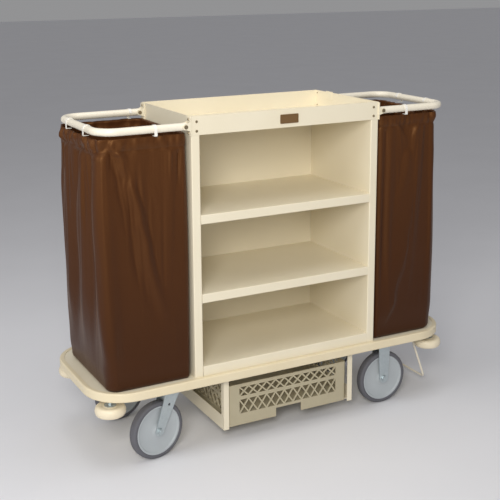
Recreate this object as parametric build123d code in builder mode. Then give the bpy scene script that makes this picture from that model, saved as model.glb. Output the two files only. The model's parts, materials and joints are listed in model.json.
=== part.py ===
from build123d import *
import os
from math import atan2, cos, degrees, hypot, radians, sin

# Housekeeping cart, in millimetres. +Z is up, +X runs along the cart to the fixed-wheel end, -Y is
# the open front of the cabinet. The origin is on the floor, under the middle of the platform.

# ---- driving dimensions ----------------------------------------------------------------------
SHEET = 1.5  # steel sheet of the cabinet
FOLD_R = 3.0  # outside radius of a fold in it
SEAT = 0.3  # gap between two pieces that rest on each other but belong to different bodies
FIT = 0.2  # gap between two pieces that are assembled round each other in one body
RUN = 0.05  # radial running clearance of a pin in its hole

PLATFORM_LENGTH = 1430.0
PLATFORM_DEPTH = 516.0
PLATFORM_CORNER = 143.0
WHEEL_R = 101.6
CASTER_ROOM = 47.8  # from the wheel's top to the bumper's underside
BUMPER_HEIGHT = 32.0
BUMPER_THICK = 15.5
BUMPER_ROUND = 5.0
BUMPER_LIP = 2.0  # bumper above the deck
DECK_SHEET = 2.0
SKIRT_DROP = 26.0

CABINET_WIDTH = 724.0
CABINET_DEPTH = 416.0
CABINET_FRONT_SETBACK = 16.0  # from the platform's front edge
CABINET_TOP = 1171.0
WALL = 30.0  # double-skinned side wall, and the width of the front posts
HEADER_HEIGHT = 62.0
BACK_INSET = 15.0
UPPER_SHELF_RISE = 562.5  # tops of the shelves and the bay floor, above the deck
LOWER_SHELF_RISE = 292.0
BAY_FLOOR_RISE = 37.0
SHELF_LIP = 31.5
SHELF_FLANGE = 18.0
LIP_RETURN = 12.0

SCREW_HEAD_R = 4.6
SCREW_HEAD_H = 2.2
SCREW_R = 2.0
SCREW_INSET = 20.0  # from the cabinet's side
SCREW_DROPS = (49.0, 18.0)  # from the cabinet's top
PLATE_SIZE = (70.0, 31.0)
PLATE_THICK = 1.6
PLATE_DROP = 33.0
PLATE_CORNER = 3.0
PLATE_RIM = 3.0
RIM_CLIP_WIDTH = 42.0
RIM_CLIP_Y = 78.0
RIM_CLIP_RISE = 3.0
RIM_CLIP_INNER_DROP = 28.0
RIM_CLIP_OUTER_DROP = 12.0

TUBE_R = 12.5
TUBE_WALL = 2.0
HOOP_DROP = 32.5  # from the cabinet's top to the tube's centreline
HOOP_END_INSET = 49.0  # from the platform's end to the far bar's centreline
HOOP_BEND = 62.0
HINGE_GAP = 3.5  # between the bracket's plate and the tube's side when the hoop is up
HINGE_PIN_R = 4.0
TUBE_END = 8.0  # tube past the hinge pin
BRACKET_THICK = 3.0
BRACKET_HALF_HEIGHT = 30.0
EAR_GAP = 1.0  # between the tube and each ear
EAR_ROOT_HALF = 14.0
EAR_TIP_HALF = 9.5
EAR_PAST_PIN = 10.5
BRACKET_SCREW_RISE = 22.5
PIN_HEAD = 2.5  # how far the pin's head stands out, round it and along it
PIN_TAIL = 3.0
HOOK_WIDTH = 10.0
HOOK_THICK = 1.6
HOOK_TOE = 4.0  # how far a hook reaches past the hoop's centreline, over the bag's hem
HOOK_FRONT_SHARE = 0.4574  # along the straight run of a hoop's side bar
HOOK_REAR_ROOM = 2.0  # past the bracket's screw when the hoop is folded
HOOK_HALF_SPACING = 85.0  # the two hooks on a hoop's far bar

BAG_DROP = 9.0  # from the tube's underside to the bag's brim
BAG_CABINET_GAP = 12.0
BAG_END_OVERHANG = 2.0  # bag past the far bar's centreline
BAG_SIDE_OVERHANG = 0.5
BAG_WALL = 3.0

TYRE_WIDTH = 32.0
TYRE_THICK = 15.0
TREAD_ROUND = 5.0
HUB_WIDTH = 30.0
HUB_BOSS_R = 17.0
HUB_DISH = 5.0
HUB_RIM = 7.0
AXLE_R = 6.0
AXLE_HEX_R = 10.5
AXLE_HEX_H = 6.5
AXLE_TAIL = 8.0  # axle past the outside of a fork leg
CASTER_END_INSET = 269.0
CASTER_EDGE_INSET = 83.0
TRAIL = 40.0
SWIVEL_TURN = 12.0  # degrees, both swivel casters at rest
FORK_GAP = 38.0
FORK_THICK = 4.0
CASTER_PLATE = (104.0, 84.0, 4.7)
CASTER_PLATE_CORNER = 8.0
CROSS_WIDTH = 110.0
RACE_R = 33.0
RACE_H = 10.0
CROWN_THICK = 5.0
CROWN_R = 35.0
CROWN_BEHIND = 12.0  # crown and leg tops, from the swivel axis back and forward
CROWN_AHEAD = 50.0
LEG_HOLE = (0.0, 188.0, 4.5)  # across and up from the swivel axis on the floor, and its radius
SWIVEL_FOOT_HALF = 17.0
FIXED_TOP_HALF = 26.0
FIXED_FOOT_HALF = 19.0
KINGPIN_R = 7.0
KINGPIN_NUT_R = 12.0
KINGPIN_NUT_H = 5.0
PLATE_BOLT_R = 4.0
PLATE_BOLT_HEX_R = 7.5
PLATE_BOLT_HEX_H = 5.0
PLATE_BOLT_SPACING = (80.0, 60.0)

ROLLER_INSET = 17.9  # from the bumper's inside to the roller's axis, at the platform's corner
ROLLER_R = 52.0
ROLLER_DROP = 22.0  # from the bumper's underside
ROLLER_THICK = 33.0
ROLLER_ROUND = 9.0
STEM_R = 8.0
STEM_HEAD_R = 14.0
STEM_HEAD_H = 5.0
STEM_COLLAR_R = 20.0  # collar above the roller
STEM_FLANGE_R = 14.0  # flange under the deck, inside the skirt
STEM_DISC = 3.0

RACK_X = 22.0
RACK_EDGE_INSET = 43.0
RACK_BOTTOM = 53.0
ANGLE = 2.5
POST_LEG = 20.0
RAIL_RISE = 50.0
RAIL_LEDGE = 38.0
STOP_RISE = 25.0

CRATE_WIDTH = 486.0
CRATE_SETBACK = 9.0  # crate behind the front posts
CRATE_EDGE_ROOM = 116.0  # platform's depth less the crate's
CRATE_HEIGHT = 153.0
CRATE_WALL = 4.0
CRATE_CORNER = 8.0
CRATE_SIDE_GAP = 3.0
LATTICE_BAR = 5.0
LATTICE_MARGIN = 43.0
LATTICE_ROWS = ((42.2, 94.2), (107.2, 141.2))  # low and high edges, above the crate's foot
LATTICE_PITCH = 36.0
GRIP_WIDTH = 105.0
GRIP_HEIGHT = 32.0

BAIL_ROD_R = 4.0
BAIL_PIVOT_INSET = 102.0  # from the platform's end
BAIL_PIVOT_DROP = 13.0  # from the bumper's underside
BAIL_FOOT_INSET = 25.0
BAIL_FOOT_Z = 34.0
BAIL_HALF_WIDTH = 130.0
BAIL_PIN = 20.0  # bent-in end of each leg
BAIL_PIN_BEND = 6.0
BAIL_BEND = 16.0
BAIL_CLIP = (18.0, 14.0)
BAIL_PIN_IN_CLIP = 8.0

# ---- worked-out places -----------------------------------------------------------------------
BUMPER_BOTTOM = 2 * WHEEL_R + CASTER_ROOM
BUMPER_TOP = BUMPER_BOTTOM + BUMPER_HEIGHT
DECK_TOP = BUMPER_TOP - BUMPER_LIP
UPPER_SHELF_TOP = DECK_TOP + UPPER_SHELF_RISE
LOWER_SHELF_TOP = DECK_TOP + LOWER_SHELF_RISE
BAY_FLOOR_TOP = DECK_TOP + BAY_FLOOR_RISE
front_y = -PLATFORM_DEPTH / 2 + CABINET_FRONT_SETBACK
rear_y = front_y + CABINET_DEPTH
mid_y = (front_y + rear_y) / 2
half_w = CABINET_WIDTH / 2
opening_w = CABINET_WIDTH - 2 * WALL
header_bottom = CABINET_TOP - HEADER_HEIGHT
deck_under = DECK_TOP - DECK_SHEET
skirt_bottom = deck_under - SKIRT_DROP
plate_top = BUMPER_BOTTOM - FIT
plate_under = plate_top - CASTER_PLATE[2]

SCREW_X = half_w - SCREW_INSET
SCREW_ZS = [CABINET_TOP - drop for drop in SCREW_DROPS]
PLATE_Z = CABINET_TOP - PLATE_DROP
HOOP_Z = CABINET_TOP - HOOP_DROP
HOOP_REACH = PLATFORM_LENGTH / 2 - HOOP_END_INSET
HOOP_HALF_DEPTH = CABINET_DEPTH / 2 - TUBE_R
HINGE_X = half_w + BRACKET_THICK + TUBE_R + HINGE_GAP
hoop_straight = HOOP_REACH - HOOP_BEND - HINGE_X
HOOK_FRONT_X = HINGE_X + HOOK_FRONT_SHARE * hoop_straight
HOOK_REAR_X = HINGE_X + BRACKET_SCREW_RISE + SCREW_HEAD_R + HOOK_WIDTH / 2 + HOOK_REAR_ROOM
BAG_TOP = HOOP_Z - TUBE_R - BAG_DROP
BAG_INNER_X = half_w + BAG_CABINET_GAP
BAG_OUTER_X = HOOP_REACH + BAG_END_OVERHANG
BAG_FRONT_Y = mid_y - HOOP_HALF_DEPTH - BAG_SIDE_OVERHANG
BAG_REAR_Y = mid_y + HOOP_HALF_DEPTH + BAG_SIDE_OVERHANG
BAG_CORNER = HOOP_BEND

CASTER_X = PLATFORM_LENGTH / 2 - CASTER_END_INSET
CASTER_Y = PLATFORM_DEPTH / 2 - CASTER_EDGE_INSET
roller_reach = (PLATFORM_CORNER - BUMPER_THICK - ROLLER_INSET) * cos(radians(45))
ROLLER_X = PLATFORM_LENGTH / 2 - PLATFORM_CORNER + roller_reach
ROLLER_Y = PLATFORM_DEPTH / 2 - PLATFORM_CORNER + roller_reach
ROLLER_TOP = BUMPER_BOTTOM - ROLLER_DROP
ROLLER_BOTTOM = ROLLER_TOP - ROLLER_THICK
RACK_POST_FRONT = -PLATFORM_DEPTH / 2 + RACK_EDGE_INSET
CRATE_FRONT = RACK_POST_FRONT + CRATE_SETBACK
CRATE_DEPTH = PLATFORM_DEPTH - CRATE_EDGE_ROOM
BAIL_PIVOT_X = PLATFORM_LENGTH / 2 - BAIL_PIVOT_INSET
BAIL_PIVOT_Z = BUMPER_BOTTOM - BAIL_PIVOT_DROP
BAIL_FOOT_X = PLATFORM_LENGTH / 2 - BAIL_FOOT_INSET
SIDES = {"left": -1, "right": 1}
ENDS = {"front": -1, "rear": 1}

os.makedirs("parts", exist_ok=True)


def save(builder, name):
    """Label a finished piece and write it as one STEP file."""
    builder.part.label = name
    export_step(builder.part, "parts/" + name + ".step")
    print(name, len(builder.part.solids()), round(builder.part.volume / 1000.0, 2))


def facing_front(y):
    """Plane at y whose local axes are +X and +Z, with its normal towards the front."""
    return Plane(origin=(0, y, 0), x_dir=(1, 0, 0), z_dir=(0, -1, 0))


def facing_side(x, side):
    """Plane at x whose local axes are +Y or -Y and +Z, with its normal away from the middle."""
    return Plane(origin=(x, 0, 0), x_dir=(0, side, 0), z_dir=(side, 0, 0))


# ---- platform --------------------------------------------------------------------------------
def bumper_outer_edges(builder):
    """Top and bottom edges of the bumper's outer face."""
    outline = []
    for edge in builder.edges().filter_by(Axis.Z, reverse=True):
        middle = edge.position_at(0.5)
        reach_x = abs(middle.X) > PLATFORM_LENGTH / 2 - FIT
        reach_y = abs(middle.Y) > PLATFORM_DEPTH / 2 - FIT
        corner = hypot(
            abs(middle.X) - PLATFORM_LENGTH / 2 + PLATFORM_CORNER,
            abs(middle.Y) - PLATFORM_DEPTH / 2 + PLATFORM_CORNER,
        )
        if reach_x or reach_y or abs(corner - PLATFORM_CORNER) < FIT:
            outline.append(edge)
    return outline


def rounded_outline(inset):
    """Platform outline, set in from the bumper's outer face, in the open sketch."""
    RectangleRounded(PLATFORM_LENGTH - 2 * inset, PLATFORM_DEPTH - 2 * inset, PLATFORM_CORNER - inset)


with BuildPart() as base_deck:
    with BuildSketch(Plane.XY.offset(skirt_bottom)):
        rounded_outline(BUMPER_THICK + FIT)
    extrude(amount=DECK_TOP - skirt_bottom)
    with BuildSketch(Plane.XY.offset(skirt_bottom)):
        rounded_outline(BUMPER_THICK + FIT + DECK_SHEET)
    extrude(amount=SKIRT_DROP, mode=Mode.SUBTRACT)
save(base_deck, "base_deck")

with BuildPart() as bumper_rail:
    with BuildSketch(Plane.XY.offset(BUMPER_BOTTOM)):
        rounded_outline(0)
        with BuildSketch(mode=Mode.SUBTRACT):
            rounded_outline(BUMPER_THICK)
    extrude(amount=BUMPER_TOP - BUMPER_BOTTOM)
    fillet(bumper_outer_edges(bumper_rail), BUMPER_ROUND)
save(bumper_rail, "bumper_rail")

# Two channels under the deck carry the casters.
cross_length = PLATFORM_DEPTH - 2 * (BUMPER_THICK + FIT + DECK_SHEET + FIT)
with BuildPart() as deck_cross_members:
    for side in SIDES.values():
        with BuildSketch(Plane.XY.offset(plate_top)):
            with Locations((side * CASTER_X, 0)):
                Rectangle(CROSS_WIDTH, cross_length)
        extrude(amount=deck_under - plate_top)
        with BuildSketch(Plane.XY.offset(plate_top + DECK_SHEET)):
            with Locations((side * CASTER_X, 0)):
                Rectangle(CROSS_WIDTH - 2 * DECK_SHEET, cross_length)
        extrude(amount=deck_under - plate_top - DECK_SHEET, mode=Mode.SUBTRACT)
save(deck_cross_members, "deck_cross_members")


# ---- cabinet ---------------------------------------------------------------------------------
def side_wall(name, side):
    """Folded side: a hollow box from the deck to the tray, whose front is the cabinet's post."""
    x_mid = side * (half_w - WALL / 2)
    with BuildPart() as wall:
        with BuildSketch(Plane.XY.offset(DECK_TOP)):
            with Locations((x_mid, mid_y)):
                RectangleRounded(WALL, CABINET_DEPTH, FOLD_R)
                RectangleRounded(
                    WALL - 2 * SHEET, CABINET_DEPTH - 2 * SHEET, FOLD_R - SHEET, mode=Mode.SUBTRACT
                )
        extrude(amount=header_bottom - DECK_TOP)
    save(wall, name)


def bracket_y(end):
    """Middle of a hoop's bar, and of its bracket, at the front (-1) or the rear (1)."""
    return mid_y + end * HOOP_HALF_DEPTH


for side_name, side in SIDES.items():
    side_wall("side_panel_" + side_name, side)

with BuildPart() as back_panel:
    panel_w = opening_w - 2 * FIT
    panel_h = header_bottom - DECK_TOP - 2 * FIT
    panel_z = (header_bottom + DECK_TOP) / 2
    with BuildSketch(facing_front(rear_y)):
        with Locations((0, panel_z)):
            Rectangle(panel_w, panel_h)
    extrude(amount=BACK_INSET)
    with BuildSketch(facing_front(rear_y)):
        with Locations((0, panel_z)):
            Rectangle(panel_w - 2 * SHEET, panel_h - 2 * SHEET)
    extrude(amount=BACK_INSET - SHEET, mode=Mode.SUBTRACT)
save(back_panel, "back_panel")

with BuildPart() as front_header:
    with BuildSketch(facing_front(front_y + SHEET)):
        with Locations((0, CABINET_TOP - HEADER_HEIGHT / 2 + FIT / 2)):
            Rectangle(CABINET_WIDTH, HEADER_HEIGHT - FIT)
    extrude(amount=SHEET)
    with BuildSketch(facing_front(front_y)):
        with Locations(*[(s * SCREW_X, z) for s in (-1, 1) for z in SCREW_ZS]):
            Circle(SCREW_R + RUN)
    extrude(amount=-SHEET, mode=Mode.SUBTRACT)
save(front_header, "front_header")

tray_front = front_y + SHEET + FIT
with BuildPart() as top_tray:
    tray_z = header_bottom + FIT
    with BuildSketch(Plane.XY.offset(tray_z)):
        with Locations((0, (tray_front + rear_y) / 2)):
            Rectangle(CABINET_WIDTH, rear_y - tray_front)
    extrude(amount=CABINET_TOP - tray_z)
    with BuildSketch(Plane.XY.offset(tray_z + SHEET)):
        with Locations((0, (tray_front + rear_y) / 2)):
            Rectangle(CABINET_WIDTH - 2 * SHEET, rear_y - tray_front - 2 * SHEET)
    extrude(amount=HEADER_HEIGHT, mode=Mode.SUBTRACT)
    with BuildSketch(facing_front(tray_front)):
        with Locations(*[(s * SCREW_X, z) for s in (-1, 1) for z in SCREW_ZS]):
            Circle(SCREW_R + RUN)
    extrude(amount=-SHEET, mode=Mode.SUBTRACT)
    for side in SIDES.values():
        for end in ENDS.values():
            for rise in (-1, 1):
                screw_z = HOOP_Z + rise * BRACKET_SCREW_RISE
                with BuildSketch(facing_side(side * half_w, side)):
                    with Locations((side * bracket_y(end), screw_z)):
                        Circle(SCREW_R + RUN)
                extrude(amount=-SHEET, mode=Mode.SUBTRACT)
save(top_tray, "top_tray")


def shelf(name, top, lip):
    """Pan shelf: sheet, front lip with a return, and flanges down the sides and back."""
    width = opening_w - 2 * FIT
    back = rear_y - BACK_INSET - FIT
    depth = back - front_y
    with BuildPart() as pan:
        with BuildSketch(Plane.XY.offset(top - SHEET)):
            with Locations((0, (front_y + back) / 2)):
                Rectangle(width, depth)
        extrude(amount=SHEET)
        with BuildSketch(Plane.XY.offset(top - SHELF_FLANGE)):
            with Locations((0, (front_y + back) / 2)):
                Rectangle(width, depth)
                Rectangle(width - 2 * SHEET, depth - 2 * SHEET, mode=Mode.SUBTRACT)
        extrude(amount=SHELF_FLANGE)
        with BuildSketch(Plane.XY.offset(top - lip)):
            with Locations((0, front_y + SHEET / 2)):
                Rectangle(width, SHEET)
        extrude(amount=lip)
        with BuildSketch(Plane.XY.offset(top - lip)):
            with Locations((0, front_y + LIP_RETURN / 2)):
                Rectangle(width, LIP_RETURN)
        extrude(amount=SHEET)
        fillet(pan.edges().filter_by(Axis.X).group_by(Axis.Y)[0], FOLD_R)
    save(pan, name)


shelf("shelf_upper", UPPER_SHELF_TOP, SHELF_LIP)
shelf("shelf_lower", LOWER_SHELF_TOP, SHELF_LIP)
shelf("bay_floor", BAY_FLOOR_TOP, BAY_FLOOR_TOP - DECK_TOP)

with BuildPart() as name_plate:
    with BuildSketch(facing_front(front_y)):
        with Locations((0, PLATE_Z)):
            RectangleRounded(*PLATE_SIZE, PLATE_CORNER)
    extrude(amount=PLATE_THICK)
    with BuildSketch(facing_front(front_y - PLATE_THICK)):
        with Locations((0, PLATE_Z)):
            RectangleRounded(*[size - 2 * PLATE_RIM for size in PLATE_SIZE], PLATE_CORNER / 2)
    extrude(amount=-PLATE_THICK / 2, mode=Mode.SUBTRACT)
save(name_plate, "name_plate")


def screw(plane, place, grip):
    """Dome-head screw whose head sits on the plane; its shank goes in by the grip."""
    with BuildSketch(plane) as head:
        with Locations(place):
            Circle(SCREW_HEAD_R)
    extrude(head.sketch, amount=SCREW_HEAD_H, taper=25)
    with BuildSketch(plane) as shank:
        with Locations(place):
            Circle(SCREW_R)
    extrude(shank.sketch, amount=-grip)


with BuildPart() as header_screws:
    for side in SIDES.values():
        for z in SCREW_ZS:
            screw(facing_front(front_y), (side * SCREW_X, z), 3 * SHEET)
save(header_screws, "header_screws")

# A folded clip hangs over the tray's right-hand rim.
with BuildPart() as rim_clip:
    clip_in = half_w - SHEET - FIT
    clip_out = half_w + FIT
    clip_under = CABINET_TOP + FIT
    with BuildSketch(facing_front(RIM_CLIP_Y + RIM_CLIP_WIDTH / 2)):
        with BuildLine():
            Polyline(
                (clip_in, CABINET_TOP - RIM_CLIP_INNER_DROP),
                (clip_in, clip_under),
                (clip_out, clip_under),
                (clip_out, CABINET_TOP - RIM_CLIP_OUTER_DROP),
                (clip_out + SHEET, CABINET_TOP - RIM_CLIP_OUTER_DROP),
                (clip_out + SHEET, CABINET_TOP + RIM_CLIP_RISE),
                (clip_in - SHEET, CABINET_TOP + RIM_CLIP_RISE),
                (clip_in - SHEET, CABINET_TOP - RIM_CLIP_INNER_DROP),
                close=True,
            )
        make_face()
    extrude(amount=RIM_CLIP_WIDTH)
save(rim_clip, "rim_clip")


# ---- bag hoops and their hinges --------------------------------------------------------------
def hinge_bracket(name, side, end):
    """Base plate on the cabinet's side with two ears that hold the hoop's pin."""
    y_mid = bracket_y(end)
    ear_in = TUBE_R + EAR_GAP
    with BuildPart() as bracket:
        with BuildSketch(facing_side(side * half_w, side)):
            with Locations((side * y_mid, HOOP_Z)):
                Rectangle(2 * (ear_in + BRACKET_THICK), 2 * BRACKET_HALF_HEIGHT)
            with Locations(*[(side * y_mid, HOOP_Z + s * BRACKET_SCREW_RISE) for s in (-1, 1)]):
                Circle(SCREW_R + RUN, mode=Mode.SUBTRACT)
        extrude(amount=BRACKET_THICK)
        for ear in (-1, 1):
            outer = y_mid + ear * (ear_in + BRACKET_THICK)
            with BuildSketch(Plane(origin=(0, outer, 0), x_dir=(1, 0, 0), z_dir=(0, -1, 0))):
                with BuildLine():
                    root = side * (half_w + BRACKET_THICK)
                    tip = side * HINGE_X
                    nose = (side * (HINGE_X + EAR_PAST_PIN), HOOP_Z)
                    Line((root, HOOP_Z - EAR_ROOT_HALF), (root, HOOP_Z + EAR_ROOT_HALF))
                    Line((root, HOOP_Z + EAR_ROOT_HALF), (tip, HOOP_Z + EAR_TIP_HALF))
                    ThreePointArc((tip, HOOP_Z + EAR_TIP_HALF), nose, (tip, HOOP_Z - EAR_TIP_HALF))
                    Line((tip, HOOP_Z - EAR_TIP_HALF), (root, HOOP_Z - EAR_ROOT_HALF))
                make_face()
                with Locations((tip, HOOP_Z)):
                    Circle(HINGE_PIN_R + FIT, mode=Mode.SUBTRACT)
            extrude(amount=ear * BRACKET_THICK)
    save(bracket, name)


for side_name, side in SIDES.items():
    for end_name, end in ENDS.items():
        hinge_bracket("hinge_bracket_" + side_name + "_" + end_name, side, end)

with BuildPart() as bracket_screws:
    for side in SIDES.values():
        for end in ENDS.values():
            for rise in (-1, 1):
                place = (side * bracket_y(end), HOOP_Z + rise * BRACKET_SCREW_RISE)
                screw(facing_side(side * (half_w + BRACKET_THICK), side), place, BRACKET_THICK + 4)
save(bracket_screws, "bracket_screws")


def hoop(name, side):
    """U-shaped tube with rounded far corners, drilled across each end for its hinge pin."""
    start = side * (HINGE_X - TUBE_END)
    reach = side * HOOP_REACH
    y_front = bracket_y(-1)
    y_rear = bracket_y(1)
    with BuildPart() as bar:
        with BuildLine() as path:
            FilletPolyline(
                (start, y_front, HOOP_Z),
                (reach, y_front, HOOP_Z),
                (reach, y_rear, HOOP_Z),
                (start, y_rear, HOOP_Z),
                radius=HOOP_BEND,
            )
        with BuildSketch(Plane(origin=(start, y_front, HOOP_Z), x_dir=(0, 1, 0), z_dir=(side, 0, 0))):
            Circle(TUBE_R)
            Circle(TUBE_R - TUBE_WALL, mode=Mode.SUBTRACT)
        sweep(path=path.line)
        for y in (y_front, y_rear):
            with BuildSketch(facing_front(y - 2 * TUBE_R)):
                with Locations((side * HINGE_X, HOOP_Z)):
                    Circle(HINGE_PIN_R + RUN)
            extrude(amount=-4 * TUBE_R, mode=Mode.SUBTRACT)
    save(bar, name)


def hinge_pins(name, side):
    """Headed pins through each bracket's ears and the tube's end."""
    half_span = TUBE_R + EAR_GAP + BRACKET_THICK
    with BuildPart() as pins:
        for end in ENDS.values():
            face = bracket_y(end) - half_span
            with BuildSketch(facing_front(face)):
                with Locations((side * HINGE_X, HOOP_Z)):
                    Circle(HINGE_PIN_R)
            extrude(amount=-(2 * half_span + PIN_TAIL))
            with BuildSketch(facing_front(face)):
                with Locations((side * HINGE_X, HOOP_Z)):
                    Circle(HINGE_PIN_R + PIN_HEAD)
            extrude(amount=PIN_HEAD)
    save(pins, name)


def bag_hooks(name, side):
    """Flat hooks over the hoop, with a leg down its outside and a toe in above the bag's hem."""
    inner = TUBE_R + FIT
    outer = inner + HOOK_THICK
    drop = HOOP_Z - BAG_TOP - SEAT
    with BuildPart() as hooks:
        for plane in hook_planes(side):
            with BuildSketch(plane):
                Circle(outer)
                Circle(inner, mode=Mode.SUBTRACT)
                with Locations((0, -outer / 2)):
                    Rectangle(2 * outer, outer, mode=Mode.SUBTRACT)
                with Locations((inner + HOOK_THICK / 2, -drop / 2)):
                    Rectangle(HOOK_THICK, drop)
                with Locations(((outer - HOOK_TOE) / 2, HOOK_THICK / 2 - drop)):
                    Rectangle(outer + HOOK_TOE, HOOK_THICK)
            extrude(amount=HOOK_WIDTH / 2, both=True)
    save(hooks, name)


def hook_planes(side):
    """Cross-section planes of the hoop at each hook; local +X points out of the bag, +Y is up."""
    front = (side * HOOK_FRONT_X, bracket_y(-1), HOOP_Z)
    rear = (side * HOOK_REAR_X, bracket_y(1), HOOP_Z)
    planes = [
        Plane(origin=front, x_dir=(0, -1, 0), z_dir=(-1, 0, 0)),
        Plane(origin=rear, x_dir=(0, 1, 0), z_dir=(1, 0, 0)),
    ]
    for end in ENDS.values():
        far = (side * HOOP_REACH, mid_y + end * HOOK_HALF_SPACING, HOOP_Z)
        planes.append(Plane(origin=far, x_dir=(side, 0, 0), z_dir=(0, -side, 0)))
    return planes


for side_name, side in SIDES.items():
    hoop("hoop_" + side_name, side)
    hinge_pins("hinge_pins_" + side_name, side)
    bag_hooks("bag_hooks_" + side_name, side)


# ---- bags ------------------------------------------------------------------------------------
def bag(name, side):
    """Open-topped bag that stands on the platform between the hoop and the deck."""
    x_mid = side * (BAG_INNER_X + BAG_OUTER_X) / 2
    y_mid = (BAG_FRONT_Y + BAG_REAR_Y) / 2
    width = BAG_OUTER_X - BAG_INNER_X
    depth = BAG_REAR_Y - BAG_FRONT_Y
    bottom = DECK_TOP + SEAT
    with BuildPart() as sack:
        with BuildSketch(Plane.XY.offset(bottom)):
            with Locations((x_mid, y_mid)):
                RectangleRounded(width, depth, BAG_CORNER)
        extrude(amount=BAG_TOP - bottom)
        with BuildSketch(Plane.XY.offset(bottom + BAG_WALL)):
            with Locations((x_mid, y_mid)):
                RectangleRounded(width - 2 * BAG_WALL, depth - 2 * BAG_WALL, BAG_CORNER - BAG_WALL)
        extrude(amount=BAG_TOP - bottom, mode=Mode.SUBTRACT)
    save(sack, name)


for side_name, side in SIDES.items():
    bag("bag_" + side_name, side)


# ---- casters ---------------------------------------------------------------------------------
axle_half = FORK_GAP / 2 + FORK_THICK
crown_top = plate_under - RACE_H - SEAT
crown_under = crown_top - CROWN_THICK


def caster_frame(side_name, end):
    """Plane on the floor under a caster; its -X points where a swivel caster trails."""
    side = SIDES[side_name]
    turn = radians(SWIVEL_TURN) if side_name == "left" else 0.0
    return Plane(
        origin=(side * CASTER_X, end * CASTER_Y, 0),
        x_dir=(cos(turn), sin(turn), 0),
        z_dir=(0, 0, 1),
    )


def level(base, height):
    """The caster's own horizontal plane at a height."""
    return Plane(origin=base.from_local_coords((0, 0, height)), x_dir=base.x_dir, z_dir=base.z_dir)


def across(base, offset):
    """The caster's upright plane, square to its axle, at an offset along the axle."""
    return Plane(
        origin=base.from_local_coords((0, offset, 0)),
        x_dir=base.x_dir,
        z_dir=-base.y_dir,
    )


def mounting_plate(base_level):
    """Rounded top plate with four bolt holes, extruded up from the given plane."""
    with BuildSketch(base_level) as outline:
        RectangleRounded(CASTER_PLATE[0], CASTER_PLATE[1], CASTER_PLATE_CORNER)
        with GridLocations(*PLATE_BOLT_SPACING, 2, 2):
            Circle(PLATE_BOLT_R + RUN, mode=Mode.SUBTRACT)
    extrude(outline.sketch, amount=CASTER_PLATE[2])


def fork_legs(base, trail, top, behind, ahead, foot_half):
    """Two tapered legs from the crown down to a round foot at the axle, drilled for it."""
    for leg in (-1, 1):
        inner = leg * FORK_GAP / 2
        with BuildSketch(across(base, inner)) as outline:
            with BuildLine():
                Line((-trail - foot_half, WHEEL_R), (-behind, top))
                Line((-behind, top), (ahead, top))
                Line((ahead, top), (-trail + foot_half, WHEEL_R))
                ThreePointArc(
                    (-trail + foot_half, WHEEL_R),
                    (-trail, WHEEL_R - foot_half),
                    (-trail - foot_half, WHEEL_R),
                )
            make_face()
            with Locations((-trail, WHEEL_R)):
                Circle(AXLE_R + RUN, mode=Mode.SUBTRACT)
        extrude(outline.sketch, amount=-leg * FORK_THICK)


def swivel_caster(name, base):
    """Top plate, race, kingpin and turning fork of a trailing caster."""
    plate_level = level(base, plate_under)
    square = Plane(origin=plate_level.origin, x_dir=(1, 0, 0), z_dir=(0, 0, 1))
    with BuildPart() as plate:
        mounting_plate(square)
        with BuildSketch(plate_level):
            Circle(KINGPIN_R + FIT)
        extrude(amount=CASTER_PLATE[2], mode=Mode.SUBTRACT)
    save(plate, "caster_plate_" + name)
    with BuildPart() as fork:
        with BuildSketch(level(base, crown_under)):
            Circle(CROWN_R)
            with Locations(((CROWN_AHEAD - CROWN_BEHIND) / 2, 0)):
                Rectangle(CROWN_AHEAD + CROWN_BEHIND, FORK_GAP + 2 * FORK_THICK)
            Circle(KINGPIN_R + RUN, mode=Mode.SUBTRACT)
        extrude(amount=CROWN_THICK)
        fork_legs(base, TRAIL, crown_top, CROWN_BEHIND, CROWN_AHEAD, SWIVEL_FOOT_HALF)
        with BuildSketch(across(base, 0)) as hole:
            with Locations(LEG_HOLE[:2]):
                Circle(LEG_HOLE[2])
        extrude(hole.sketch, amount=FORK_GAP, both=True, mode=Mode.SUBTRACT)
    save(fork, "caster_fork_" + name)


def fixed_caster(name, base):
    """Top plate and two straight legs pressed in one piece."""
    with BuildPart() as fork:
        mounting_plate(level(base, plate_under))
        fork_legs(base, 0.0, plate_under, FIXED_TOP_HALF, FIXED_TOP_HALF, FIXED_FOOT_HALF)
    save(fork, "caster_fork_" + name)


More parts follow.
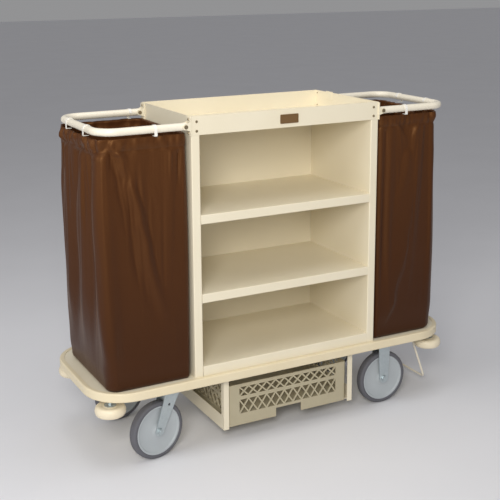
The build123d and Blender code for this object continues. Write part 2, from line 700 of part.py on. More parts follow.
def wheel(name, base, trail):
    """Axle bolt, hub and tyre, all on the axle's line."""
    centre = base.from_local_coords((-trail, 0, WHEEL_R))
    turning = Plane(origin=centre, x_dir=base.x_dir, z_dir=-base.y_dir)
    with BuildPart() as axle:
        with BuildSketch(turning):
            Circle(AXLE_R)
        extrude(amount=axle_half + AXLE_TAIL, both=True)
        for out in (-1, 1):
            with BuildSketch(turning.offset(out * axle_half)):
                RegularPolygon(radius=AXLE_HEX_R, side_count=6)
            extrude(amount=out * AXLE_HEX_H)
    save(axle, "axle_" + name)
    rim_r = WHEEL_R - TYRE_THICK - FIT
    with BuildPart() as hub:
        with BuildSketch(turning):
            Circle(rim_r)
        extrude(amount=HUB_WIDTH / 2, both=True)
        for out in (-1, 1):
            with BuildSketch(turning.offset(out * HUB_WIDTH / 2)):
                Circle(rim_r - HUB_RIM)
                Circle(HUB_BOSS_R + HUB_DISH, mode=Mode.SUBTRACT)
            extrude(amount=-out * HUB_DISH, mode=Mode.SUBTRACT)
        with BuildSketch(turning):
            Circle(HUB_BOSS_R)
        extrude(amount=FORK_GAP / 2 - SEAT, both=True)
        with BuildSketch(turning):
            Circle(AXLE_R + RUN)
        extrude(amount=FORK_GAP, both=True, mode=Mode.SUBTRACT)
    save(hub, "wheel_hub_" + name)
    with BuildPart() as tyre:
        with BuildSketch(turning):
            Circle(WHEEL_R)
            Circle(WHEEL_R - TYRE_THICK, mode=Mode.SUBTRACT)
        extrude(amount=TYRE_WIDTH / 2, both=True)
        circles = tyre.edges().filter_by(GeomType.CIRCLE)
        tread = [e for e in circles if abs(e.radius - WHEEL_R) < FIT]
        fillet(tread, TREAD_ROUND)
    save(tyre, "tyre_" + name)


for side_name, side in SIDES.items():
    for end_name, end in ENDS.items():
        place_name = side_name + "_" + end_name
        base = caster_frame(side_name, end)
        if side_name == "left":
            swivel_caster(place_name, base)
            wheel(place_name, base, TRAIL)
        else:
            fixed_caster(place_name, base)
            wheel(place_name, base, 0.0)

with BuildPart() as swivel_races:
    for end in ENDS.values():
        with BuildSketch(level(caster_frame("left", end), plate_under - RACE_H)):
            Circle(RACE_R)
            Circle(KINGPIN_R + FIT, mode=Mode.SUBTRACT)
        extrude(amount=RACE_H)
save(swivel_races, "swivel_races")

with BuildPart() as kingpins:
    for end in ENDS.values():
        base = caster_frame("left", end)
        pin_low = crown_under - SEAT - KINGPIN_NUT_H
        with BuildSketch(level(base, pin_low)):
            Circle(KINGPIN_R)
        extrude(amount=plate_top - FIT - pin_low)
        with BuildSketch(level(base, pin_low)):
            Circle(KINGPIN_NUT_R)
        extrude(amount=KINGPIN_NUT_H)
save(kingpins, "kingpins")

# Bolts hold the caster plates to the cross-members from below.
with BuildPart() as caster_bolts:
    for side_name, side in SIDES.items():
        for end in ENDS.values():
            square = Plane.XY.offset(plate_under)
            for bolt in GridLocations(*PLATE_BOLT_SPACING, 2, 2):
                centre = (side * CASTER_X + bolt.position.X, end * CASTER_Y + bolt.position.Y)
                with BuildSketch(square):
                    with Locations(centre):
                        RegularPolygon(radius=PLATE_BOLT_HEX_R, side_count=6)
                extrude(amount=-PLATE_BOLT_HEX_H)
                with BuildSketch(square):
                    with Locations(centre):
                        Circle(PLATE_BOLT_R)
                extrude(amount=CASTER_PLATE[2] - FIT)
save(caster_bolts, "caster_bolts")


# ---- corner rollers --------------------------------------------------------------------------
def roller_place(side, end):
    """Centre of a corner roller on the platform's plan."""
    return (side * ROLLER_X, end * ROLLER_Y)


for side_name, side in SIDES.items():
    for end_name, end in ENDS.items():
        with BuildPart() as roller:
            with BuildSketch(Plane.XY.offset(ROLLER_BOTTOM)):
                with Locations(roller_place(side, end)):
                    Circle(ROLLER_R)
                    Circle(STEM_R + RUN, mode=Mode.SUBTRACT)
            extrude(amount=ROLLER_TOP - ROLLER_BOTTOM)
            circles = roller.edges().filter_by(GeomType.CIRCLE)
            fillet([e for e in circles if abs(e.radius - ROLLER_R) < FIT], ROLLER_ROUND)
        save(roller, "corner_roller_" + side_name + "_" + end_name)

with BuildPart() as roller_stems:
    for side in SIDES.values():
        for end in ENDS.values():
            stem_low = ROLLER_BOTTOM - SEAT
            for low, radius, height in (
                (stem_low - STEM_HEAD_H, STEM_HEAD_R, STEM_HEAD_H),
                (stem_low, STEM_R, deck_under - stem_low),
                (ROLLER_TOP + SEAT, STEM_COLLAR_R, STEM_DISC),
                (deck_under - STEM_DISC, STEM_FLANGE_R, STEM_DISC),
            ):
                with BuildSketch(Plane.XY.offset(low)):
                    with Locations(roller_place(side, end)):
                        Circle(radius)
                extrude(amount=height)
save(roller_stems, "roller_stems")


# ---- crate rack and crate --------------------------------------------------------------------
rack_half = CRATE_WIDTH / 2 + CRATE_SIDE_GAP + POST_LEG
crate_rear = CRATE_FRONT + CRATE_DEPTH
post_rear = crate_rear + FIT + ANGLE + POST_LEG
rail_top = RACK_BOTTOM + ANGLE

with BuildPart() as rack_posts:
    for side in SIDES.values():
        outer = RACK_X + side * rack_half
        for face, way in ((RACK_POST_FRONT, 1), (post_rear, -1)):
            with BuildSketch(Plane.XY.offset(RACK_BOTTOM)):
                with Locations((outer - side * POST_LEG / 2, face + way * ANGLE / 2)):
                    Rectangle(POST_LEG, ANGLE)
                with Locations((outer - side * ANGLE / 2, face + way * POST_LEG / 2)):
                    Rectangle(ANGLE, POST_LEG)
            extrude(amount=deck_under - RACK_BOTTOM)
save(rack_posts, "rack_posts")

rail_front = RACK_POST_FRONT + POST_LEG
rail_rear = post_rear - POST_LEG
for side_name, side in SIDES.items():
    outer = RACK_X + side * rack_half
    with BuildPart() as rail:
        with BuildSketch(Plane.XZ.offset(-rail_front)):
            with Locations((outer - side * ANGLE / 2, RACK_BOTTOM + RAIL_RISE / 2)):
                Rectangle(ANGLE, RAIL_RISE)
            with Locations((outer - side * RAIL_LEDGE / 2, RACK_BOTTOM + ANGLE / 2)):
                Rectangle(RAIL_LEDGE, ANGLE)
        extrude(amount=-(rail_rear - rail_front))
    save(rail, "rack_rail_" + side_name)

with BuildPart() as rack_stop:
    stop_w = 2 * (rack_half - ANGLE)
    with BuildSketch(facing_front(rail_rear)):
        with Locations((RACK_X, rail_top + STOP_RISE / 2)):
            Rectangle(stop_w, STOP_RISE)
    extrude(amount=ANGLE)
save(rack_stop, "rack_stop")

crate_bottom = rail_top + SEAT
crate_in_w = CRATE_WIDTH - 2 * CRATE_WALL
crate_in_d = CRATE_DEPTH - 2 * CRATE_WALL
lattice_w = CRATE_WIDTH - 2 * LATTICE_MARGIN
lattice_d = CRATE_DEPTH - 2 * LATTICE_MARGIN


def lattice_cut(plane, middle, width, through):
    """Cut two rows of crossed bars through a pair of opposite crate walls."""
    cells = round(width / LATTICE_PITCH)
    pitch = width / cells
    for low, high in LATTICE_ROWS:
        mid_z = crate_bottom + (low + high) / 2
        slope = degrees(atan2(high - low, pitch))
        bar = hypot(high - low, pitch)
        with BuildSketch(plane) as holes:
            with Locations((middle, mid_z)):
                Rectangle(width, high - low)
            with Locations(*[(middle + (n + 0.5) * pitch - width / 2, mid_z) for n in range(cells)]):
                Rectangle(bar, LATTICE_BAR, rotation=slope, mode=Mode.SUBTRACT)
                Rectangle(bar, LATTICE_BAR, rotation=-slope, mode=Mode.SUBTRACT)
        extrude(holes.sketch, amount=through, both=True, mode=Mode.SUBTRACT)


with BuildPart() as crate:
    crate_mid = (RACK_X, CRATE_FRONT + CRATE_DEPTH / 2)
    with BuildSketch(Plane.XY.offset(crate_bottom)):
        with Locations(crate_mid):
            RectangleRounded(CRATE_WIDTH, CRATE_DEPTH, CRATE_CORNER)
    extrude(amount=CRATE_HEIGHT)
    with BuildSketch(Plane.XY.offset(crate_bottom + GRIP_HEIGHT + CRATE_WALL)):
        with Locations(crate_mid):
            RectangleRounded(crate_in_w, crate_in_d, CRATE_CORNER - CRATE_WALL)
    extrude(amount=CRATE_HEIGHT, mode=Mode.SUBTRACT)
    with BuildSketch(Plane.XY.offset(crate_bottom)):
        with Locations(crate_mid):
            RectangleRounded(crate_in_w, crate_in_d, CRATE_CORNER - CRATE_WALL)
    extrude(amount=GRIP_HEIGHT, mode=Mode.SUBTRACT)
    with BuildSketch(facing_front(crate_mid[1])):
        with Locations((RACK_X, crate_bottom + GRIP_HEIGHT / 2)):
            Rectangle(GRIP_WIDTH, GRIP_HEIGHT)
    extrude(amount=CRATE_DEPTH, both=True, mode=Mode.SUBTRACT)
    lattice_cut(facing_front(crate_mid[1]), RACK_X, lattice_w, CRATE_DEPTH)
    lattice_cut(facing_side(RACK_X, 1), crate_mid[1], lattice_d, CRATE_WIDTH)
save(crate, "crate")


# ---- end bail --------------------------------------------------------------------------------
bail_inner = BAIL_HALF_WIDTH - BAIL_PIN

with BuildPart() as end_bail:
    with BuildLine() as bail_path:
        FilletPolyline(
            (BAIL_PIVOT_X, -bail_inner, BAIL_PIVOT_Z),
            (BAIL_PIVOT_X, -BAIL_HALF_WIDTH, BAIL_PIVOT_Z),
            (BAIL_FOOT_X, -BAIL_HALF_WIDTH, BAIL_FOOT_Z),
            (BAIL_FOOT_X, BAIL_HALF_WIDTH, BAIL_FOOT_Z),
            (BAIL_PIVOT_X, BAIL_HALF_WIDTH, BAIL_PIVOT_Z),
            (BAIL_PIVOT_X, bail_inner, BAIL_PIVOT_Z),
            radius=[BAIL_PIN_BEND, BAIL_BEND, BAIL_BEND, BAIL_PIN_BEND],
        )
    with BuildSketch(Plane(origin=bail_path.line @ 0, z_dir=bail_path.line % 0)):
        Circle(BAIL_ROD_R)
    sweep(path=bail_path.line)
save(end_bail, "end_bail")

with BuildPart() as bail_clips:
    for end in ENDS.values():
        clip_y = end * (bail_inner + BAIL_PIN_IN_CLIP - BAIL_CLIP[1] / 2)
        with BuildSketch(facing_front(clip_y)):
            clip_low = BAIL_PIVOT_Z - BAIL_CLIP[0] / 2
            with Locations((BAIL_PIVOT_X, (clip_low + deck_under) / 2)):
                Rectangle(BAIL_CLIP[0], deck_under - clip_low)
            with Locations((BAIL_PIVOT_X, BAIL_PIVOT_Z)):
                Circle(BAIL_ROD_R + RUN, mode=Mode.SUBTRACT)
        extrude(amount=BAIL_CLIP[1] / 2, both=True)
save(bail_clips, "bail_clips")
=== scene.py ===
# %% [markdown]
# # Housekeeping cart
# A hotel cart is a sheet-steel cabinet on a long platform, with a tube hoop and a nylon bag at each end,
# four casters and a pull-out crate below. The imported model gives every piece that has a real size. This
# script adds what the imported model leaves plain: the cloth, the turned wheels, the rollers with their soft
# moulded edges, and a finish for every surface. All lengths are in metres.

# %% Load the frame
import json
from math import atan2, cos, exp, hypot, pi, radians, sin, tan

import bmesh
import bpy
from mathutils import Matrix, Vector, noise


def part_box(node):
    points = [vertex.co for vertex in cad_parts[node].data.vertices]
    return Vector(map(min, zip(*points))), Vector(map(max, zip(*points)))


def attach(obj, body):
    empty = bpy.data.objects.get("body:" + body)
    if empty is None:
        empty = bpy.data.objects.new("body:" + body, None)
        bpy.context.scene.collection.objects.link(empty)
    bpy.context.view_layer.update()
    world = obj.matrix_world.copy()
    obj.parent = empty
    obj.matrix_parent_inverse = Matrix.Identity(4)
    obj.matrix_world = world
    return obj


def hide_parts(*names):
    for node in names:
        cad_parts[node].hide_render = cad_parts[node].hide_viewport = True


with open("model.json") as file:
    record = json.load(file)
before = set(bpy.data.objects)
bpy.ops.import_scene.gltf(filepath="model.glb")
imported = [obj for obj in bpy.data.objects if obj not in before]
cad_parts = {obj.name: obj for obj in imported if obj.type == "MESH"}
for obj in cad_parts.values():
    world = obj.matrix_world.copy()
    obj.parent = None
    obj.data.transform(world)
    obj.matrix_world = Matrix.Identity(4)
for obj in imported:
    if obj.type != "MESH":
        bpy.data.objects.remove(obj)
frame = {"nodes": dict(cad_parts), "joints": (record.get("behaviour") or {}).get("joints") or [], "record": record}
nodes = frame["nodes"]
joints = {joint["name"]: joint for joint in frame["joints"]}
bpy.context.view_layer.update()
MM = 0.001
SIDES = {"left": -1, "right": 1}
ENDS = {"front": -1, "rear": 1}

# %% [markdown]
# ## Camera
# The cart is seen from its front left corner, a little from above. The camera is placed by its position
# and its three turning angles, because a tracking constraint would leave its roll to chance. The cart
# stands a little low in the picture, so the lens is shifted and not tipped, which keeps uprights upright.

# %% Camera
CAMERA_PLACE = Vector((-1.6703, -3.1104, 1.6253))
CAMERA_YAW = 0.4872
CAMERA_DIP = 0.2171
CAMERA_ROLL = -0.0057
SENSOR = 36.0
LENS = 71.88
LENS_SHIFT = -0.12


def camera_turn(yaw, dip, roll):
    """Matrix of a camera that looks along +Y at rest, turned to the right, dipped, then rolled."""
    ahead = Vector((sin(yaw) * cos(dip), cos(yaw) * cos(dip), -sin(dip)))
    right = Vector((cos(yaw), -sin(yaw), 0))
    up = right.cross(ahead)
    rolled_right = cos(roll) * right + sin(roll) * up
    rolled_up = cos(roll) * up - sin(roll) * right
    return Matrix((rolled_right, rolled_up, -ahead)).transposed().to_4x4()


camera_data = bpy.data.cameras.new("camera")
camera_data.sensor_width = SENSOR
camera_data.lens = LENS
camera_data.shift_y = LENS_SHIFT
camera = bpy.data.objects.new("camera", camera_data)
bpy.context.scene.collection.objects.link(camera)
camera.matrix_world = Matrix.Translation(CAMERA_PLACE) @ camera_turn(CAMERA_YAW, CAMERA_DIP, CAMERA_ROLL)
bpy.context.scene.camera = camera

# %% [markdown]
# ## Helpers for nodes and colours
# A material is a small tree of nodes. One function adds a node with its settings and links, so each
# material reads as a list of what it is made of. Colours are written as the hex values that a paint card
# gives, and turned to the linear values that a shader works in.


# %% Node and colour helpers
def linear(code):
    """Linear colour of an sRGB hex code."""
    shares = [int(code[i : i + 2], 16) / 255 for i in (1, 3, 5)]
    return tuple(s / 12.92 if s <= 0.04045 else ((s + 0.055) / 1.055) ** 2.4 for s in shares) + (1.0,)


def add(tree, kind, inputs=None, **settings):
    """Adds a node. Settings are the node's own, inputs are values, or the sockets that feed it."""
    node = tree.nodes.new(kind)
    for name, value in settings.items():
        setattr(node, name, value)
    for name, value in (inputs or {}).items():
        if isinstance(value, bpy.types.NodeSocket):
            tree.links.new(value, node.inputs[name])
        else:
            node.inputs[name].default_value = value
    return node


def new_material(name, inputs):
    """An empty material, its tree, its Principled shader set from the inputs, and Object coordinates."""
    material = bpy.data.materials.new(name)
    material.use_nodes = True
    tree = material.node_tree
    tree.nodes.clear()
    shader = add(tree, "ShaderNodeBsdfPrincipled", inputs)
    add(tree, "ShaderNodeOutputMaterial", {"Surface": shader.outputs["BSDF"]})
    place = add(tree, "ShaderNodeTexCoord").outputs["Object"]
    return material, tree, shader, place


# %% [markdown]
# ## Powder-coated steel
# The cabinet, platform, hoops and rack are folded steel, sprayed with polyester powder and baked. Powder
# flows out to a satin skin with a faint orange peel, about 3.5 mm from crest to crest. The colour is a
# warm ivory that drifts very slightly along a piece, and handling leaves it a touch duller in places, so
# the roughness varies too.


# %% Powder coat
def powder_coat(name, dark, light, sheen_low, sheen_high):
    """Baked polyester powder: satin, with a slow drift of tone and an orange-peel bump."""
    material, tree, shader, place = new_material(name, {"IOR": 1.5, "Coat Weight": 0.12, "Coat Roughness": 0.3})
    drift = add(tree, "ShaderNodeTexNoise", {"Vector": place, "Scale": 1 / 0.22, "Detail": 2.0})
    tones = {"Fac": drift.outputs["Fac"], "Color1": linear(dark), "Color2": linear(light)}
    tree.links.new(add(tree, "ShaderNodeMixRGB", tones).outputs["Color"], shader.inputs["Base Color"])
    handled = add(tree, "ShaderNodeTexNoise", {"Vector": place, "Scale": 1 / 0.06, "Detail": 5.0})
    satin = {"Value": handled.outputs["Fac"], "To Min": sheen_low, "To Max": sheen_high}
    tree.links.new(add(tree, "ShaderNodeMapRange", satin).outputs["Result"], shader.inputs["Roughness"])
    peel = add(tree, "ShaderNodeTexNoise", {"Vector": place, "Scale": 1 / 0.0035, "Detail": 1.0})
    relief = {"Height": peel.outputs["Fac"], "Distance": 0.06 * MM, "Strength": 1.0}
    tree.links.new(add(tree, "ShaderNodeBump", relief).outputs["Normal"], shader.inputs["Normal"])
    return material


ivory_powder = powder_coat("ivory_powder_coat", "#E6DBC0", "#EEE5CE", 0.36, 0.5)
tube_powder = powder_coat("tube_powder_coat", "#ECE3CE", "#F2EAD9", 0.28, 0.4)


# %% [markdown]
# ## Moulded plastics
# The bumper and rollers are soft vinyl, moulded to a smooth satin. The crate is polypropylene with a fine
# grain from its mould. The wheel discs are nylon. They share one recipe with other tones, grain and gloss:
# plastic shows its colour evenly, has no metal in it, and gives a broad soft highlight.


# %% Plastics
def moulded(name, dark, light, roughness, grain_size, grain_depth):
    """Moulded plastic or rubber: even colour, a rubbed satin and the grain of its mould."""
    material, tree, shader, place = new_material(name, {"IOR": 1.5})
    drift = add(tree, "ShaderNodeTexNoise", {"Vector": place, "Scale": 1 / 0.09, "Detail": 4.0})
    tones = {"Fac": drift.outputs["Fac"], "Color1": linear(dark), "Color2": linear(light)}
    tree.links.new(add(tree, "ShaderNodeMixRGB", tones).outputs["Color"], shader.inputs["Base Color"])
    rubbed = add(tree, "ShaderNodeTexNoise", {"Vector": place, "Scale": 1 / 0.03, "Detail": 4.0})
    satin = {"Value": rubbed.outputs["Fac"], "To Min": roughness - 0.06, "To Max": roughness + 0.06}
    tree.links.new(add(tree, "ShaderNodeMapRange", satin).outputs["Result"], shader.inputs["Roughness"])
    grain = add(tree, "ShaderNodeTexNoise", {"Vector": place, "Scale": 1 / grain_size, "Detail": 2.0})
    relief = {"Height": grain.outputs["Fac"], "Distance": grain_depth, "Strength": 1.0}
    tree.links.new(add(tree, "ShaderNodeBump", relief).outputs["Normal"], shader.inputs["Normal"])
    return material


bumper_vinyl = moulded("bumper_vinyl", "#E2D3B0", "#E9DCBE", 0.42, 4 * MM, 0.05 * MM)
roller_vinyl = moulded("roller_vinyl", "#E8DABC", "#EEE2C8", 0.45, 4 * MM, 0.05 * MM)
crate_polypropylene = moulded("crate_polypropylene", "#AFA58A", "#BDB398", 0.55, 2.5 * MM, 0.12 * MM)
hub_nylon = moulded("hub_nylon", "#A9AFB3", "#B8BEC1", 0.48, 3 * MM, 0.06 * MM)
hook_nylon = moulded("hook_nylon", "#E9E5DC", "#F4F1EA", 0.4, 3 * MM, 0.04 * MM)
grey_rubber = moulded("grey_rubber", "#58585E", "#67676D", 0.68, 1.8 * MM, 0.15 * MM)
plate_phenolic = moulded("plate_phenolic", "#6B5030", "#7C5F3C", 0.3, 4 * MM, 0.03 * MM)


# %% [markdown]
# ## Zinc-plated steel
# The forks, plates, bolts and stems are bright zinc plate over pressed steel: a pale blue-grey metal with
# a slightly mottled colour, an uneven gloss and soft rolling marks that run up the sheet. It is a metal,
# so its colour is in its reflections, and it keeps the default IOR.


# %% Zinc plate
def zinc_plate(name, dark, light, roughness):
    """Electroplated zinc: mottled tone, rolling marks stretched along Z."""
    material, tree, shader, place = new_material(name, {"Metallic": 0.85})
    spangle = add(tree, "ShaderNodeTexNoise", {"Vector": place, "Scale": 1 / 0.012, "Detail": 4.0})
    tones = {"Fac": spangle.outputs["Fac"], "Color1": linear(dark), "Color2": linear(light)}
    tree.links.new(add(tree, "ShaderNodeMixRGB", tones).outputs["Color"], shader.inputs["Base Color"])
    along = add(tree, "ShaderNodeMapping", {"Vector": place, "Scale": (1.0, 1.0, 0.07)})
    marks = {"Vector": along.outputs["Vector"], "Scale": 1 / 0.0022, "Detail": 2.0}
    rolled = add(tree, "ShaderNodeTexNoise", marks)
    gloss = {"Value": rolled.outputs["Fac"], "To Min": roughness - 0.08, "To Max": roughness + 0.1}
    tree.links.new(add(tree, "ShaderNodeMapRange", gloss).outputs["Result"], shader.inputs["Roughness"])
    relief = {"Height": rolled.outputs["Fac"], "Distance": 0.04 * MM, "Strength": 1.0}
    tree.links.new(add(tree, "ShaderNodeBump", relief).outputs["Normal"], shader.inputs["Normal"])
    return material


bright_zinc = zinc_plate("bright_zinc", "#B4BEC1", "#CAD3D6", 0.4)
screw_zinc = zinc_plate("screw_zinc", "#8E8068", "#A5967A", 0.4)


# %% [markdown]
# ## Coated nylon
# The bags are plain-woven nylon with a polyurethane coat on the inside. The yarns are about 0.3 mm apart,
# too fine to show here, so the weave is drawn five times as coarse. It follows the cloth's own flat
# pattern, which each bag carries as a UV map in metres. Nylon's smooth yarns give long soft highlights
# down every fold, and a golden-brown sheen where the cloth turns away, because the light picks up the
# dye as it passes through the yarns. The base colour is also painted lighter towards the top. This is
# painted light: it stands in for the light that falls more on the top of the bag than on its foot.


# %% Nylon
YARN = 1.5 * MM
BAG_FOOT, BAG_HEAD = (corner.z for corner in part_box("bag_right"))


def coated_nylon(name, dark, light, painted_top_light_tone, roughness):
    """Coated plain weave: crossed yarns on the flat pattern, small crumples, a tinted gloss, and painted light: a
    base colour lighter towards the top.
    """
    gloss = {"IOR": 1.53, "Specular IOR Level": 0.75, "Specular Tint": linear("#D09C68")}
    sheen = {"Sheen Weight": 0.10, "Sheen Roughness": 0.3, "Sheen Tint": linear("#B07C48")}
    material, tree, shader, place = new_material(name, gloss | sheen)
    drift = add(tree, "ShaderNodeTexNoise", {"Vector": place, "Scale": 1 / 0.16, "Detail": 3.0})
    tones = {"Fac": drift.outputs["Fac"], "Color1": linear(dark), "Color2": linear(light)}
    dyed = add(tree, "ShaderNodeMixRGB", tones).outputs["Color"]
    # Painted light: the base colour blends from the dyed tone at the foot to a lighter tone at the top, standing in
    # for the light that falls on the top.
    height = add(tree, "ShaderNodeSeparateXYZ", {"Vector": place}).outputs["Z"]
    rise = {"Value": height, "From Min": BAG_FOOT, "From Max": BAG_HEAD}
    painted_top_light = {"Fac": add(tree, "ShaderNodeMapRange", rise).outputs["Result"], "Color1": dyed, "Color2": linear(painted_top_light_tone)}
    tree.links.new(add(tree, "ShaderNodeMixRGB", painted_top_light).outputs["Color"], shader.inputs["Base Color"])
    flat = add(tree, "ShaderNodeUVMap", uv_map="cut").outputs["UV"]
    across = {"Vector": flat, "Scale": 2 * pi / (20 * YARN)}
    warp = add(tree, "ShaderNodeTexWave", across, bands_direction="X").outputs["Fac"]
    weft = add(tree, "ShaderNodeTexWave", across, bands_direction="Y").outputs["Fac"]
    weave = add(tree, "ShaderNodeMath", {0: warp, 1: weft}, operation="MULTIPLY").outputs["Value"]
    down = add(tree, "ShaderNodeMapping", {"Vector": place, "Scale": (1.0, 1.0, 0.35)}).outputs["Vector"]
    crumple = add(tree, "ShaderNodeTexNoise", {"Vector": down, "Scale": 1 / 0.05, "Detail": 4.0}).outputs["Fac"]
    soft = {"Height": crumple, "Distance": 1.6 * MM, "Strength": 1.0}
    crumpled = add(tree, "ShaderNodeBump", soft).outputs["Normal"]
    fine = {"Height": weave, "Distance": 0.08 * MM, "Strength": 1.0, "Normal": crumpled}
    tree.links.new(add(tree, "ShaderNodeBump", fine).outputs["Normal"], shader.inputs["Normal"])
    worn = {"Value": crumple, "To Min": roughness - 0.05, "To Max": roughness + 0.08}
    tree.links.new(add(tree, "ShaderNodeMapRange", worn).outputs["Result"], shader.inputs["Roughness"])
    return material


# The third colour is painted light: the lighter tone painted on the top of the bag.
bag_nylon = coated_nylon("bag_nylon", "#29110B", "#34170E", "#4A2A15", 0.42)

# %% [markdown]
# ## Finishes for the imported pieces
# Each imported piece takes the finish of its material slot. A piece that is made again below takes its
# finish there.

# %% Finishes by slot
FINISHES = {
    "cream_paint": ivory_powder,
    "bumper": bumper_vinyl,
    "bag": bag_nylon,
    "hook": hook_nylon,
    "zinc": bright_zinc,
    "screw": screw_zinc,
    "hub": hub_nylon,
    "tyre": grey_rubber,
    "crate": crate_polypropylene,
    "name_plate": plate_phenolic,
}
slot_of = {part["node"]: part["material_slot"] for part in frame["record"]["subparts"]}
body_of = {node: body for body, members in frame["record"]["behaviour"]["bodies"].items() for node in members}


def finish_mesh(mesh, *materials):
    """Gives a mesh its materials, in slot order."""
    mesh.materials.clear()
    for material in materials:
        mesh.materials.append(material)


for node, slot in slot_of.items():
    finish_mesh(nodes[node].data, FINISHES[slot])
for node in ("hoop_left", "hoop_right", "end_bail"):
    finish_mesh(nodes[node].data, tube_powder)
for node in nodes:
    if node.startswith("corner_roller"):
        finish_mesh(nodes[node].data, roller_vinyl)

# %% [markdown]
# ## Making a new piece
# Every new piece starts as a bmesh, becomes an object that sits at the origin with its place in its mesh,
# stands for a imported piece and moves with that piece's body.


# %% Piece helper
def make_piece(name, bm, node, *materials, smooth=True):
    """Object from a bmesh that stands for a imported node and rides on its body."""
    mesh = bpy.data.meshes.new(name)
    bm.to_mesh(mesh)
    bm.free()
    finish_mesh(mesh, *(materials or (FINISHES[slot_of[node]],)))
    for face in mesh.polygons:
        face.use_smooth = smooth
    piece = bpy.data.objects.new(name, mesh)
    bpy.context.scene.collection.objects.link(piece)
    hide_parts(node)
    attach(piece, body_of[node])
    return piece


# %% [markdown]
# ## Wheels
# A caster wheel is a turned shape: a nylon disc with a boss and a rim, and a rubber tyre moulded round it.
# Spinning one half-profile round the axle makes it whole. The profile is a row of points, radius and
# distance along the axle, and small chamfers on its corners catch the light as a moulding's edges do.


# %% Wheels
def axle_matrix(joint):
    """Matrix that takes a wheel's own frame, with its axle along X, to its place on the cart."""
    axle = Vector(joint["axis"]).normalized()
    up = Vector((0, 0, 1))
    ahead = axle.cross(up)
    turn = Matrix((axle, ahead, up)).transposed().to_4x4()
    return Matrix.Translation(Vector(joint["pos_m"])) @ turn


def turned(profile, steps=96):
    """Closed ring of points, (radius, offset) each, spun round the X axis into a solid of revolution."""
    bm = bmesh.new()
    ring = [bm.verts.new((offset, 0, radius)) for radius, offset in profile]
    edges = [bm.edges.new((ring[i - 1], ring[i])) for i in range(len(ring))]
    bmesh.ops.spin(
        bm, geom=ring + edges, cent=(0, 0, 0), axis=(1, 0, 0), angle=2 * pi, steps=steps, use_merge=True
    )
    bmesh.ops.remove_doubles(bm, verts=bm.verts, dist=1e-6)
    bmesh.ops.recalc_face_normals(bm, faces=bm.faces)
    return bm


def mirrored_profile(half):
    """Profile from its half at positive offsets, listed from the outside in."""
    return half + [(radius, -offset) for radius, offset in reversed(half)]


WHEEL_R = 0.1016
TYRE_IN = WHEEL_R - 0.015
HUB_OUT = TYRE_IN - 0.0002
AXLE_R = 0.00605
tyre_half = [
    (WHEEL_R, 0.0070), (WHEEL_R - 0.0006, 0.0105), (WHEEL_R - 0.0022, 0.0133), (WHEEL_R - 0.0048, 0.0152),
    (WHEEL_R - 0.0080, 0.0160), (WHEEL_R - 0.0118, 0.0160), (WHEEL_R - 0.0132, 0.0154), (TYRE_IN, 0.0150),
]
hub_half = [
    (HUB_OUT, 0.0148), (HUB_OUT - 0.0012, 0.0150), (HUB_OUT - 0.0052, 0.0150), (HUB_OUT - 0.0066, 0.0144),
    (HUB_OUT - 0.0078, 0.0118), (HUB_OUT - 0.0095, 0.0108), (0.0500, 0.0112), (0.0300, 0.0124),
    (0.0225, 0.0138), (0.0186, 0.0172), (0.0170, 0.0184), (0.0150, 0.0187), (AXLE_R, 0.0187),
]
for name, joint in joints.items():
    if name.startswith("wheel_"):
        place = name[len("wheel_") : -len("_roll")]
        for half, node in ((tyre_half, "tyre_" + place), (hub_half, "wheel_hub_" + place)):
            bm = turned(mirrored_profile(half))
            bmesh.ops.transform(bm, matrix=axle_matrix(joint), verts=bm.verts)
            bmesh.ops.recalc_face_normals(bm, faces=bm.faces)
            make_piece("turned_" + node, bm, node)

# %% [markdown]
# ## Corner rollers
# Each roller is a thick vinyl ring with a crowned rim and a dished face, free on its upright stem. It is
# spun like the wheels, from one whole profile, because its top and bottom differ.

# %% Corner rollers
for side in SIDES:
    for end in ENDS:
        node = "corner_roller_" + side + "_" + end
        low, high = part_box(node)
        middle = (low + high) / 2
        reach = (high.x - low.x) / 2
        deep = (high.z - low.z) / 2
        bore = 0.00805
        rim = [(reach - deep * 0.62 * (1 - cos(t)), deep * sin(t)) for t in (k * pi / 12 for k in range(-6, 7))]
        rim.reverse()
        profile = rim + [
            (reach - 0.020, -deep), (reach - 0.023, 0.0015 - deep), (reach - 0.025, 0.0025 - deep),
            (0.0200, 0.0025 - deep), (0.0180, -deep), (bore, -deep),
            (bore, deep), (0.0180, deep), (0.0200, deep - 0.0025),
            (reach - 0.025, deep - 0.0025), (reach - 0.023, deep - 0.0010), (reach - 0.020, deep),
        ]
        bm = turned(profile, steps=72)
        upright = Matrix.Translation(middle) @ Matrix.Rotation(-pi / 2, 4, "Y")
        bmesh.ops.transform(bm, matrix=upright, verts=bm.verts)
        bmesh.ops.recalc_face_normals(bm, faces=bm.faces)
        make_piece("turned_" + node, bm, node, roller_vinyl)

# %% [markdown]
# ## Bags
# A cart bag is one length of nylon rolled into a tube and sewn to a flat bottom. A wide hem at its top is
# gathered, and hooks hold the hem under the hoop, so the cloth puckers in the hem, falls in long pleats
# below it and stands nearly smooth near the platform. Each bag starts as a flat grid with its cut kept as
# a UV map. It is rolled round a rounded-square outline that swells and narrows with height, the pleats
# that its own weight and hooks pull are pushed in or out along the cloth's normal, and a short cloth
# simulation then lets it hang.

# %% Bag outline
BAG_COLUMNS = 300
FINE_SHARE = 0.78  # of the columns, on the front and the outer end, where the folds are
HEM_ROWS = 22
WALL_ROWS = 92
TURNED_IN_ROWS = 8
HEM_DEPTH = 0.040
bag_low, bag_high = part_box("bag_right")
BAG_FRONT = bag_low.y
BAG_REAR = bag_high.y
BAG_INNER = bag_low.x
BAG_OUTER = bag_high.x
BAG_FLOOR = bag_low.z
BAG_BRIM = bag_high.z
HEM_SEAM = BAG_BRIM - HEM_DEPTH
BAG_CORNERS = (0.016, 0.050, 0.032, 0.020)


